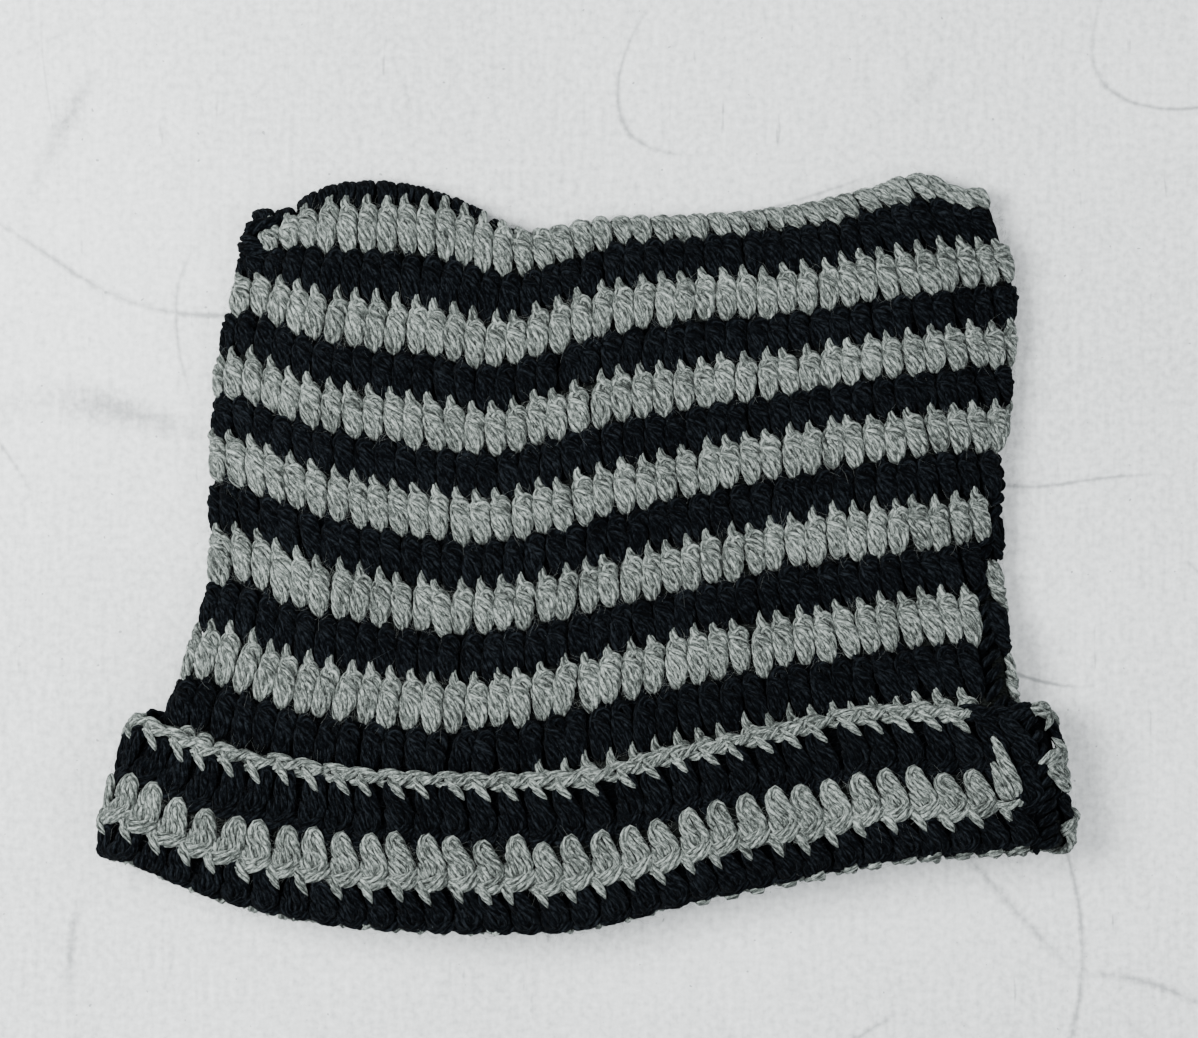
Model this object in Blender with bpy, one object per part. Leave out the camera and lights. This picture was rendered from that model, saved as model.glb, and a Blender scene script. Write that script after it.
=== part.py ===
"""A striped crocheted beanie with a square, closed crown, lying flat with its cuff turned up.

One striped panel is folded over the crown and sewn up both sides, so its rows run across the front, over
the crown and down the back, and its hem is turned up into a cuff. Every row is its own strip of fabric,
laid out flat as a grid of rows and lengths, bent onto the hat's surface and given its thickness.

+Z is up from the table, +Y runs from the mouth to the crown, and the origin is on the table.
Rows are counted down the front: row k of the panel lies between the row lines k and k + 1.
"""

import math

import bmesh
import bpy
from mathutils import Vector

MM = 0.001

# Fabric
FABRIC = 5.0 * MM  # thickness of the crocheted fabric
FOLD_R = 3.2 * MM  # radius of a tight fold, at the middle of the fabric
GAP = 0.6 * MM  # clearance between neighbouring rows
BENT_GAP = 2.2 * MM  # the same where they bend over the crown or round the fold, and crowd on the inside
SEAM_GAP = 1.7 * MM  # clearance between a row's end and the side seam
SEAM_WIDTH = 2.6 * MM
ROW = 14.6 * MM  # height of one row
LOOP = 265.0 * MM  # length of a row from one side of the hat to the other

# Row counts: the crown's ridge crosses the rows askew, the cuff folds at 16 and its hem is at 20
RIDGE_LEFT, RIDGE_RIGHT = 0.5, 1.5
FOLD_ROW, HEM_ROW = 16, 20
BACK_HEM_ROW = 1 - HEM_ROW
# On the back, row lines lie where these front row lines would: (row line, front row line), at the right
BACK_AT_RIGHT = ((BACK_HEM_ROW, HEM_ROW), (-14, FOLD_ROW), (0, 3), (1.5, 1.5))

# Heights of the middle of each layer above the table
BACK_Z = FABRIC / 2
BACK_OVER_CUFF_Z = BACK_Z + 2 * FOLD_R
FRONT_CROWN_Z = 19.6 * MM
FRONT_MOUTH_Z = 20.9 * MM
SIDE_CROWN_Z = 7.0 * MM  # where front and back meet, along the sides
SIDE_MOUTH_Z = (BACK_OVER_CUFF_Z + FRONT_MOUTH_Z) / 2
SIDE_MOUTH_R = 5.0 * MM  # how round the body's sides are inside the cuff
DOME = 30.0 * MM  # distance from an edge over which a panel rises to its full height
STEP_UP = 28.0 * MM  # length over which the back panel climbs onto the cuff

# Outlines: (y, x) of the body's and the cuff's sides in mm, and (share of the width, y) of the crown
LEFT_SIDE = ((118, -107.9), (85.5, -116.4), (58, -121.9), (31, -123.4), (1, -123.5), (-15, -125.6),
             (-33, -130.3), (-54, -138.0), (-75, -147.0), (-97, -153.4), (-125, -154.0))
RIGHT_SIDE = ((120, 134.0), (101, 139.6), (82, 141.7), (42, 139.6), (-2, 137.2), (-19, 138.6),
              (-48, 142.2), (-75, 151.0), (-97, 153.9), (-125, 154.0))
CUFF_LEFT = ((-45, -146.0), (-55, -149.0), (-74, -155.5), (-97, -159.8), (-125, -160.4))
CUFF_RIGHT = ((-40, 148.5), (-48, 151.0), (-61, 155.5), (-80, 158.9), (-97, 160.3), (-125, 160.4))
CROWN = ((0, 113), (0.05, 120.3), (0.12, 122.4), (0.20, 120.0), (0.27, 114.5), (0.355, 106.5),
         (0.45, 110.0), (0.60, 111.2), (0.75, 114.3), (0.87, 120.4), (0.945, 124.6), (1, 120.0))

# Row lines: row count, y at the left and right side, how far it sags, and (share of the width, sag)
SAG_UPPER = ((0, 0), (0.09, 0.5), (0.2, 0.68), (0.28, 0.86), (0.34, 1), (0.42, 0.72), (0.5, 0.47),
             (0.6, 0.42), (0.73, 0.37), (0.86, 0.2), (1, 0))
SAG_MIDDLE = ((0, 0), (0.1, 0.48), (0.22, 0.83), (0.32, 1), (0.4, 0.93), (0.5, 0.7), (0.62, 0.46),
              (0.76, 0.22), (0.88, 0.1), (1, 0))
SAG_FOLD = ((0, 0), (0.08, 0.44), (0.165, 0.74), (0.25, 0.91), (0.36, 1), (0.47, 1), (0.53, 0.9),
            (0.62, 0.62), (0.72, 0.38), (0.82, 0.15), (0.93, 0.03), (1, 0))
ROW_LINES = ((3.5, 85.5, 94.6, 20.2, SAG_UPPER), (7.5, 30.9, 41.6, 23.0, SAG_MIDDLE),
             (11.5, -33.2, -19.2, 20.0, SAG_MIDDLE), (FOLD_ROW, -101.0, -97.5, 24.6, SAG_FOLD))
CUFF_LINES = ((16, 0), (17, 14.5), (18, 29.0), (19, 48.0), (20, 53.5))  # row line, mm above the fold
CUFF_END_SHARE = 0.9  # the cuff stands this much lower at its two ends

# How far the front's rows pass the side, in mm, at each row line: less than 0 stops short of it
PAST_LEFT = ((2, -0.5), (3, 6), (20, 6))
PAST_RIGHT = ((3, -0.5), (4, 6), (7, 6), (8, 2), (9, -4), (10, -9), (11, -11), (14, -11), (16, -13), (20, -15))
SEAM_FROM_LEFT, SEAM_FROM_RIGHT = 2.6, 3.15  # row line at which each side seam starts, under the crown

# Lengths from each side at which a row has a cross-section; the middle is divided evenly
NEAR_SIDE = (0, 2.5, 5, 10, 18, 34)
LEVEL_SHARE = 0.04  # share of the width, at each side, over which a row runs level so that its ends meet
MIDDLE_STEPS = 11

# Row lines in a strip: where it bends over the crown or round the fold, where it meets the seam as the
# seam crosses the right side, and elsewhere
BENT_STEPS, CROSSING_STEPS, PLAIN_STEPS = 6, 4, 2
BENT_FRONT_ROWS, BENT_BACK_ROWS = (0, 1, 15, 16), (-1, -14, -15, -16)
CROSSING_FRONT_ROWS, CROSSING_BACK_ROWS = (3, 7, 8, 9), (-4, -5, -6, -7, -8)

CENTRE = Vector((0.21 * MM, -0.43 * MM, 0))  # of the hat's box, taken off so that the origin is under it

GREY = (0.40, 0.42, 0.41, 1)
BLACK = (0.012, 0.013, 0.016, 1)


def curve_through(points):
    """A smooth function through (position, value) points, held flat past its ends."""
    points = sorted(points)
    slopes = []
    for i in range(len(points)):
        before, after = points[max(i - 1, 0)], points[min(i + 1, len(points) - 1)]
        slopes.append((after[1] - before[1]) / (after[0] - before[0]))

    def value(at):
        at = min(max(at, points[0][0]), points[-1][0])
        i = max(k for k in range(len(points) - 1) if points[k][0] <= at)
        (x0, y0), (x1, y1) = points[i], points[i + 1]
        span = x1 - x0
        t = (at - x0) / span
        return ((1 + 2 * t) * (1 - t) ** 2 * y0 + t * (1 - t) ** 2 * span * slopes[i]
                + t * t * (3 - 2 * t) * y1 + t * t * (t - 1) * span * slopes[i + 1])

    return value


def line_through(points):
    """The same with straight lines between the points."""
    points = sorted(points)

    def value(at):
        at = min(max(at, points[0][0]), points[-1][0])
        i = max(k for k in range(len(points) - 1) if points[k][0] <= at)
        (x0, y0), (x1, y1) = points[i], points[i + 1]
        return y0 + (y1 - y0) * (at - x0) / (x1 - x0)

    return value


def ease(t):
    """0 below 0, 1 above 1, and smooth between."""
    t = min(max(t, 0.0), 1.0)
    return t * t * (3 - 2 * t)


def mix(a, b, t):
    return a + (b - a) * t


left_side, right_side = curve_through(LEFT_SIDE), curve_through(RIGHT_SIDE)
cuff_left, cuff_right = curve_through(CUFF_LEFT), curve_through(CUFF_RIGHT)
crown_outline = curve_through(CROWN)
past_left, past_right = line_through(PAST_LEFT), line_through(PAST_RIGHT)
cuff_line, back_at_right = line_through(CUFF_LINES), line_through(BACK_AT_RIGHT)
sag_of = {shape: curve_through(shape) for shape in (SAG_UPPER, SAG_MIDDLE, SAG_FOLD)}

QUARTER = math.pi / 2 * FOLD_R  # length of fabric from a fold's middle to where it is flat
TAKEN_UP = QUARTER - FOLD_R  # how much shorter a fold makes the fabric look


def askew(u):
    """How far along its shift from the left to the right side a row is, at a share u of the width."""
    return ease((u - 0.05) / 0.6)


def ridge_row(u):
    return mix(RIDGE_LEFT, RIDGE_RIGHT, askew(u))


def ridge_y(u):
    """y of the crown's ridge, at the middle of the fabric."""
    return crown_outline(u) * MM - FABRIC / 2


def line_y(line, u):
    _, left, right, sag, shape = line
    return (mix(left, right, u) - sag * sag_of[shape](u)) * MM


def fold_y(u):
    """y of the cuff's fold, at the middle of the fabric."""
    return line_y(ROW_LINES[-1], u) + FABRIC / 2


def row_y(u, row):
    """y of a front row line, counting the fabric taken up by the crown and the fold as if it lay flat."""
    row_before, y_before = ridge_row(u), ridge_y(u) + TAKEN_UP
    for line in ROW_LINES:
        y = fold_y(u) - TAKEN_UP if line is ROW_LINES[-1] else line_y(line, u)
        if row <= line[0]:
            return mix(y_before, y, (row - row_before) / (line[0] - row_before))
        row_before, y_before = line[0], y
    return y_before


def front_row(u, row):
    """The front row line that lies where a row line of the back does."""
    return mix(1 - row, back_at_right(row), askew(u))


def bend(length):
    """Fabric this far from a fold's middle: its depth behind the fold, and its share of a flat layer's rise."""
    if length >= QUARTER:
        return length - TAKEN_UP, 1.0
    return FOLD_R * (1 - math.cos(length / FOLD_R)), math.sin(length / FOLD_R)


def across(left, right, radius, share, openness):
    """x at a share of the length from side to side, the depth behind the nearer side, and its share of rise.
    With openness 0 the sides are round, and with 1 they are the open ends of a fold."""
    whole = right - left + (math.pi - 2) * radius
    near = min(share, 1 - share) * whole
    if near < math.pi / 2 * radius:
        depth, rise = radius * (1 - math.cos(near / radius)), math.sin(near / radius)
    else:
        depth, rise = near - (math.pi / 2 - 1) * radius, 1.0
    depth = mix(depth, min(share, 1 - share) * (right - left), openness)
    return (left + depth if share < 0.5 else right - depth), depth, mix(rise, 1, openness)


def swell(depth, radius):
    """Share of a panel's full height that it has reached, this far behind an edge."""
    return math.sin(math.pi / 2 * min(max((depth - radius) / DOME, 0), 1))


def surface(side, length, row):
    """A point of the fabric's middle. side is 1 on the front, -1 on the back; length is measured from the
    left side and wraps onto the other panel beyond either side; row is a row line of that panel."""
    share = length / LOOP
    u = min(max((share - LEVEL_SHARE) / (1 - 2 * LEVEL_SHARE), 0), 1)
    if side > 0:
        over_ridge = row < ridge_row(u)
        line = row if not over_ridge else front_row(u, row)
    else:
        over_ridge = row > ridge_row(u)
        line = front_row(u, row) if not over_ridge else row
    if over_ridge:
        side = -side
    if share < 0 or share > 1:
        side = -side
        share = -share if share < 0 else 2 - share
    on_cuff = line > FOLD_ROW
    ridge_rise, ridge_depth = 1.0, 1.0
    if on_cuff:
        height = cuff_line(line) * MM * mix(CUFF_END_SHARE, 1, ease(u / 0.2) * ease((1 - u) / 0.25))
        depth, fold_rise = bend(height)
        y = fold_y(u) + depth
    else:
        flat_y = row_y(u, line)
        depth, fold_rise = bend(flat_y - fold_y(u) + TAKEN_UP)
        ridge_depth, ridge_rise = bend(ridge_y(u) + TAKEN_UP - flat_y)
        y = fold_y(u) + depth if fold_rise < 1 else ridge_y(u) - ridge_depth
    folding = (1 - fold_rise) * FOLD_R
    if on_cuff:
        left, right = cuff_left(y / MM) * MM + FABRIC / 2 + folding, cuff_right(y / MM) * MM - FABRIC / 2 - folding
        radius = SIDE_MOUTH_R + 2 * FOLD_R - folding
        side_z = SIDE_MOUTH_Z
        front, back = FRONT_MOUTH_Z + 2 * FOLD_R - folding, BACK_Z + folding
        swelling = 1.0
    else:
        free_edge = fold_y(u) + CUFF_LINES[-1][1] * MM
        onto_cuff = ease((free_edge + STEP_UP + 4 * MM - y) / STEP_UP)
        left, right = left_side(y / MM) * MM + FABRIC / 2, right_side(y / MM) * MM - FABRIC / 2
        mouth = ease((fold_y(u) + 30 * MM - y) / (25 * MM))
        left = mix(left, cuff_left(y / MM) * MM + FABRIC / 2 + 2 * FOLD_R, mouth) - folding
        right = mix(right, cuff_right(y / MM) * MM - FABRIC / 2 - 2 * FOLD_R, mouth) + folding
        radius = mix(FOLD_R, SIDE_MOUTH_R, onto_cuff) + folding
        side_z = mix(SIDE_CROWN_Z, SIDE_MOUTH_Z, onto_cuff)
        front = mix(FRONT_CROWN_Z, FRONT_MOUTH_Z, onto_cuff) + folding
        back = mix(BACK_Z, BACK_OVER_CUFF_Z, onto_cuff) - folding
        swelling = swell(ridge_depth, FOLD_R)
    openness = 0.0 if on_cuff else 1 - ease(ridge_depth / (2.2 * FOLD_R))
    x, side_depth, side_rise = across(left, right, radius, share, openness)
    full = (front - side_z if side > 0 else side_z - back) - radius
    rise = radius * side_rise * ridge_rise + full * swell(side_depth, radius) * swelling
    return Vector((x, y, side_z + side * rise)) - CENTRE


def normal(side, length, row):
    """The fabric's normal, from small steps along and across the row."""
    step = 0.15 * MM
    low, high = length - step, length + step
    if 0 <= length < step:
        low, high = 0.0, 2 * step
    elif LOOP - step < length <= LOOP:
        low, high = LOOP - 2 * step, LOOP
    along = surface(side, high, row) - surface(side, low, row)
    down = surface(side, length, row + step / ROW) - surface(side, length, row - step / ROW)
    return down.cross(along).normalized()


def make_material(name, colour):
    material = bpy.data.materials.new(name)
    material.use_nodes = True
    shader = material.node_tree.nodes["Principled BSDF"]
    shader.inputs["Base Color"].default_value = colour
    shader.inputs["Roughness"].default_value = 0.95
    return material


def fabric_piece(name, side, rows, lengths, colour, collection):
    """A closed strip of fabric: rows are its row lines, and lengths(row) its lengths along that line."""
    shape = bmesh.new()
    layers = []
    for face in (1, -1):
        layer = []
        for row in rows:
            layer.append([shape.verts.new(surface(side, length, row)
                                          + normal(side, length, row) * (face * FABRIC / 2))
                          for length in lengths(row)])
        layers.append(layer)
    top, bottom = layers
    last_row, last = len(top) - 1, len(top[0]) - 1
    for j in range(last_row):
        for i in range(last):
            shape.faces.new((top[j][i], top[j][i + 1], top[j + 1][i + 1], top[j + 1][i]))
            shape.faces.new((bottom[j][i], bottom[j + 1][i], bottom[j + 1][i + 1], bottom[j][i + 1]))
        for i in (0, last):
            shape.faces.new((top[j][i], top[j + 1][i], bottom[j + 1][i], bottom[j][i]))
    for i in range(last):
        for j in (0, last_row):
            shape.faces.new((top[j][i], top[j][i + 1], bottom[j][i + 1], bottom[j][i]))
    bmesh.ops.recalc_face_normals(shape, faces=shape.faces)
    if shape.calc_volume(signed=True) < 0:
        bmesh.ops.reverse_faces(shape, faces=shape.faces)
    mesh = bpy.data.meshes.new(name)
    shape.to_mesh(mesh)
    shape.free()
    piece = bpy.data.objects.new(name, mesh)
    piece.data.materials.append(make_material(name, colour))
    collection.objects.link(piece)
    return piece


def front_lengths(row):
    """Cross-sections of a front row, from its left end to its right."""
    return join(near_side(-past_left(row) * MM), near_side(-past_right(row) * MM))


def back_lengths(row):
    """Cross-sections of a back row, which starts where the front's row and the side seam end."""
    seam = SEAM_WIDTH + 2 * SEAM_GAP
    left_row, right_row = front_row(0, row), front_row(1, row)
    left = past_left(left_row) * MM + (seam if left_row > 2 else SEAM_GAP)
    right = past_right(right_row) * MM + (seam if right_row > 3 else SEAM_GAP)
    return join(near_side(left), near_side(right))


def near_side(start):
    """Lengths from one side at which a row that starts here has a cross-section."""
    if start < 0:
        return [start, start / 2] + [d * MM for d in NEAR_SIDE]
    span = NEAR_SIDE[-1] * MM - start
    return [start + span * share for share in (0, 0.03, 0.06, 0.12, 0.2, 0.35, 0.6, 1)]


def join(near_left, near_right):
    """The cross-sections near both sides, with the middle divided evenly."""
    near_right = [LOOP - d for d in near_right][::-1]
    first, last = near_left[-1], near_right[0]
    middle = [mix(first, last, (k + 1) / MIDDLE_STEPS) for k in range(MIDDLE_STEPS - 1)]
    return near_left + middle + near_right


def between(first, last, bent, crossing):
    """Row lines of a strip, with its clearance left at both."""
    trim = (BENT_GAP if bent else GAP) / 2 / ROW
    steps = BENT_STEPS if bent else CROSSING_STEPS if crossing else PLAIN_STEPS
    return [mix(first + trim, last - trim, k / (steps - 1)) for k in range(steps)]


def seam_lengths(side_of_hat):
    """Cross-sections of a side seam: it fills the space that the front's and the back's rows leave."""
    def lengths(row):
        past = (past_left if side_of_hat == "left" else past_right)(row) * MM + SEAM_GAP
        steps = [past + SEAM_WIDTH * k / 2 for k in range(3)]
        return [-d for d in steps] if side_of_hat == "left" else [LOOP + d for d in steps]
    return lengths


def seam_rows(start):
    """Row lines of a side seam: one for each row, and closer together as it crosses the side and the fold."""
    body = [start] + [k / 3 for k in range(int(start) * 3 + 3, 31)] + [float(k) for k in range(11, FOLD_ROW)]
    fold = [FOLD_ROW + share for share in (-0.66, -0.4, -0.3, -0.2, -0.1, 0, 0.1, 0.2, 0.3, 0.4, 0.66)]
    cuff = [float(k) for k in range(FOLD_ROW + 1, HEM_ROW)] + [HEM_ROW - 0.1]
    return body + fold + cuff


def clear_scene():
    for old in list(bpy.data.objects):
        bpy.data.objects.remove(old, do_unlink=True)


def colour_of(row):
    return ("grey", GREY) if row % 2 else ("black", BLACK)


def build():
    clear_scene()
    beanie = bpy.data.collections.new("striped_beanie")
    bpy.context.scene.collection.children.link(beanie)
    for row in range(HEM_ROW):
        word, colour = colour_of(row)
        if row < 2:
            name = f"crown_row_{word}"
        elif row < FOLD_ROW:
            name = f"front_row_{row:02d}_{word}"
        elif row < HEM_ROW - 1:
            name = f"front_cuff_row_{row:02d}_{word}"
        else:
            name = "front_hem_chain"
        rows = between(row, row + 1, row in BENT_FRONT_ROWS, row in CROSSING_FRONT_ROWS)
        fabric_piece(name, 1, rows, front_lengths, colour, beanie)
    for row in range(-1, BACK_HEM_ROW - 1, -1):
        word, colour = colour_of(row)
        number = -row + 1
        if row > -15:
            name = f"back_row_{number:02d}_{word}"
        elif row > BACK_HEM_ROW:
            name = f"back_cuff_row_{number:02d}_{word}"
        else:
            name = "back_hem_chain"
        rows = between(row, row + 1, row in BENT_BACK_ROWS, row in CROSSING_BACK_ROWS)
        fabric_piece(name, -1, rows, back_lengths, colour, beanie)
    for side_of_hat, start in (("left", SEAM_FROM_LEFT), ("right", SEAM_FROM_RIGHT)):
        name = f"{side_of_hat}_side_seam"
        fabric_piece(name, 1, seam_rows(start), seam_lengths(side_of_hat), BLACK, beanie)


build()
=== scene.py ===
"""The look of the striped crocheted beanie: every stitch is modelled as twisted yarn on the hat's surface.

The surface and its sizes repeat those of the CAD source. Rows are counted down the front, so the back's rows
are 0 and below, and row k lies between the row lines k and k + 1. Lengths run across, from the left side.
A stitch is a few strands; a strand is a path in millimetres (across, along the row's height, out of the
fabric), laid onto the surface and swept with the rounded section of a plied yarn.
"""
import math

import bpy
import numpy as np
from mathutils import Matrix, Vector


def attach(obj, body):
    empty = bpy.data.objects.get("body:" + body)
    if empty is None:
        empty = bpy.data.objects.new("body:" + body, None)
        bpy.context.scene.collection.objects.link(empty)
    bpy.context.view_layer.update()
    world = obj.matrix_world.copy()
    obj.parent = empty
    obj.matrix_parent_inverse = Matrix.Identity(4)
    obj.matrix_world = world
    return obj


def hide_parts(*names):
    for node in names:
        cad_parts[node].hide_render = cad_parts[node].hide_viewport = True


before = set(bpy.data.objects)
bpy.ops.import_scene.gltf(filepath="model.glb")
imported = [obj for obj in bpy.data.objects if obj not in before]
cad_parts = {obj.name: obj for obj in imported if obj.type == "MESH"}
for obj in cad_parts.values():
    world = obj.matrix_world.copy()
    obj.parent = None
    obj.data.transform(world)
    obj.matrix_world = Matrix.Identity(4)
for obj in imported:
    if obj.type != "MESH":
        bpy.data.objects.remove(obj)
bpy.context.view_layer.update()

rng = np.random.default_rng(11)
MM = 0.001

# Fabric and surface, as in the CAD source
FABRIC = 5.0 * MM  # thickness of the crocheted fabric
FOLD_R = 3.2 * MM  # radius of a tight fold, at the middle of the fabric
ROW = 14.6 * MM  # height of one row
LOOP = 265.0 * MM  # length of a row from one side of the hat to the other
RIDGE_LEFT, RIDGE_RIGHT = 0.5, 1.5  # the crown's ridge crosses the rows askew
ASKEW_FROM, ASKEW_OVER = 0.05, 0.6  # share of the width where that shift starts, and over which it grows
FOLD_ROW, HEM_ROW = 16, 20
BACK_FOLD_ROW, BACK_HEM_ROW = 1 - FOLD_ROW, 1 - HEM_ROW
# On the back, row lines lie where these front row lines would: (row line, front row line), at the right
BACK_AT_RIGHT = ((BACK_HEM_ROW - 1, HEM_ROW + 0.8), (BACK_HEM_ROW, HEM_ROW), (BACK_FOLD_ROW + 1, FOLD_ROW),
                 (0, 3), (1.5, 1.5))
BACK_Z = FABRIC / 2  # heights of the middle of each layer above the table
BACK_OVER_CUFF_Z = BACK_Z + 2 * FOLD_R
FRONT_CROWN_Z = 19.6 * MM
FRONT_MOUTH_Z = 20.9 * MM
SIDE_CROWN_Z = 7.0 * MM  # where front and back meet, along the sides
SIDE_MOUTH_Z = (BACK_OVER_CUFF_Z + FRONT_MOUTH_Z) / 2
SIDE_MOUTH_R = 5.0 * MM  # how round the body's sides are inside the cuff
DOME = 30.0 * MM  # distance from an edge over which a panel rises to its full height
STEP_UP = 28.0 * MM  # length over which the back panel climbs onto the cuff
STEP_GAP = 4.0 * MM  # how far before the cuff's free edge it has climbed
MOUTH_FROM, MOUTH_OVER = 30.0 * MM, 25.0 * MM  # above the fold, where the body widens to fill the cuff
OPEN_OVER = 2.2 * FOLD_R  # depth behind the ridge over which the ends of the crown's fold are open
# Outlines: (y, x) of the body's and the cuff's sides in mm, and (share of the width, y) of the crown
LEFT_SIDE = ((118, -107.9), (85.5, -116.4), (58, -121.9), (31, -123.4), (1, -123.5), (-15, -125.6),
             (-33, -130.3), (-54, -138.0), (-75, -147.0), (-97, -153.4), (-125, -154.0))
RIGHT_SIDE = ((120, 134.0), (101, 139.6), (82, 141.7), (42, 139.6), (-2, 137.2), (-19, 138.6),
              (-48, 142.2), (-75, 151.0), (-97, 153.9), (-125, 154.0))
CUFF_LEFT = ((-45, -146.0), (-55, -149.0), (-74, -155.5), (-97, -159.8), (-125, -160.4))
CUFF_RIGHT = ((-40, 148.5), (-48, 151.0), (-61, 155.5), (-80, 158.9), (-97, 160.3), (-125, 160.4))
CROWN = ((0, 113), (0.05, 120.3), (0.12, 122.4), (0.20, 120.0), (0.27, 114.5), (0.355, 106.5),
         (0.45, 110.0), (0.60, 111.2), (0.75, 114.3), (0.87, 120.4), (0.945, 124.6), (1, 120.0))
# Row lines: row count, y at the left and right side, how far it sags, and (share of the width, sag)
SAG_UPPER = ((0, 0), (0.09, 0.5), (0.2, 0.68), (0.28, 0.86), (0.34, 1), (0.42, 0.72), (0.5, 0.47),
             (0.6, 0.42), (0.73, 0.37), (0.86, 0.2), (1, 0))
SAG_MIDDLE = ((0, 0), (0.1, 0.48), (0.22, 0.83), (0.32, 1), (0.4, 0.93), (0.5, 0.7), (0.62, 0.46),
              (0.76, 0.22), (0.88, 0.1), (1, 0))
SAG_FOLD = ((0, 0), (0.08, 0.44), (0.165, 0.74), (0.25, 0.91), (0.36, 1), (0.47, 1), (0.53, 0.9),
            (0.62, 0.62), (0.72, 0.38), (0.82, 0.15), (0.93, 0.03), (1, 0))
ROW_LINES = ((3.5, 85.5, 94.6, 20.2, SAG_UPPER), (7.5, 30.9, 41.6, 23.0, SAG_MIDDLE),
             (11.5, -33.2, -19.2, 20.0, SAG_MIDDLE), (FOLD_ROW, -101.0, -97.5, 24.6, SAG_FOLD))
CUFF_LINES = ((16, 0), (17, 14.5), (18, 29.0), (19, 48.0), (20, 53.5), (21, 68.0))  # row line, mm above fold
CUFF_EDGE = dict(CUFF_LINES)[HEM_ROW] * MM  # height of its free edge
CUFF_END_SHARE = 0.9  # share of its height that the cuff has at its two ends
# How far the front's rows pass the side, in mm, at each row line: less than 0 stops short of it
PAST_LEFT = ((2, -0.5), (3, 6), (20, 6))
PAST_RIGHT = ((3, -0.5), (4, 6), (7, 6), (8, 2), (9, -4), (10, -9), (11, -11), (14, -11), (16, -13),
              (20, -15))
SEAM_FROM_LEFT, SEAM_FROM_RIGHT = 2.6, 3.15  # row line at which each side seam starts, under the crown
SEAM = 6.0 * MM  # the CAD rows' ends stand this far apart at a side seam
INTO_SEAM = 1.7 * MM  # how far the stitches reach into that gap from either side
LEVEL_SHARE = 0.04  # share of the width, at each side, over which a row runs level so that its ends meet
CENTRE = np.array((0.21 * MM, -0.43 * MM, 0))  # of the hat's box, taken off so that the origin is under it
LOWEST = 0.05 * MM  # above the table

# Yarn
YARN_R = 1.68  # mm, radius of the yarn in a stitch
PLIES, COARSE_PLIES = 4, 3  # the second where a strand has too few sides for all
PLY_SIDES = 3  # sides of a strand to each ply
FULL_SIDES, COARSE_SIDES = PLIES * PLY_SIDES, COARSE_PLIES * PLY_SIDES
PLY_MEAN, PLY_DEPTH = 0.87, 0.15  # of the yarn's radius: how the plies bulge round it
PLAIN_RADIUS = 0.95  # of it, on strands with too few sides for plies
TWIST_LENGTH = 17.0  # mm of yarn for one turn of its plies
SINK = 1.5  # mm by which the strands' heights are lowered, so that their tops reach the fabric's own face
STITCH = 6.8  # mm, width of a stitch on the body
CUFF_STITCH = 7.6  # mm of a row's length, which the wider cuff stretches
ROW_SHIFT = -0.31  # of a stitch: how far each row stands off the one before
CUFF_CHAIN_SHIFT = 0.2  # of a stitch, for the chain along the cuff's edge
END_ROOM = 0.36  # of a stitch: how near to a row's end the last one may stand
CUFF_WIDTH = 0.95  # share of their own width that the cuff's strands are laid over
ROW_MM = ROW / MM

# How much stitches differ: the spread of their lean, height, place (across and up, mm) and yarn, and how far
# each strand wanders (mm)
LEAN_SPREAD, TALL_SPREAD, ACROSS_SPREAD, UP_SPREAD, YARN_SPREAD = 0.065, 0.035, 0.28, 0.38, 0.04
WANDER, WANDER_KNOTS = 0.12, 5

# Lean: how far to the left a stitch's top stands for each mm of height
BODY_LEAN, CROWN_LEAN = 0.08, 0.24  # in general, and on the crown's grey row
RIGHT_LEAN, RIGHT_FROM, RIGHT_OVER = 0.12, 0.75, 0.25  # what the right side adds, over these shares
CUFF_LEAN_LEFT, CUFF_LEAN, CUFF_LEAN_OVER = -0.42, 0.1, 0.32  # at the left end, and past this share

# The rows inside the cuff are laid on both faces, because the mouth shows their wrong side. Their stitches
# there stand taller to the right, where they peek out past the fold
INSIDE_ROWS = (FOLD_ROW - 2, FOLD_ROW - 1, BACK_FOLD_ROW + 1, BACK_FOLD_ROW + 2)
INSIDE_TALL, INSIDE_TALLER, PEEK_FROM, PEEK_OVER = 0.74, 0.32, 0.5, 0.3

# Black stitches lie lower, so that the spikes of the grey ones cross them
BLACK_CUFF_TALL = 0.94
BLACK_CUFF_LOWERED = ((0, 0.3), (4, 2.0), (5, 1.8), (6, 3.0))  # strand of the stitch, mm
BLACK_SPIKE_LOWERED = 2.0  # mm, on the body
BARE_ROW, BARE_SHARE = FOLD_ROW - 3, 0.42  # this row has no spikes up to this share of the width

# How finely strands are made: samples along a long one, sides round it
BODY_DETAIL, CUFF_DETAIL, CHAIN_DETAIL = (24, FULL_SIDES), (22, FULL_SIDES), (24, FULL_SIDES)
BACK_DETAIL, BACK_CROWN_DETAIL, BACK_CUFF_DETAIL = (13, COARSE_SIDES), (16, COARSE_SIDES), (15, COARSE_SIDES)
BACK_CHAIN_DETAIL, INSIDE_DETAIL, COVERED_DETAIL = (14, COARSE_SIDES), (12, 7), (12, 6)
WRAP_SAMPLES, SEAM_SAMPLES = 22, 11
LONGEST_STRAND, FEWEST_SAMPLES = 11, 6  # a strand with this many points takes all the samples

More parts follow.
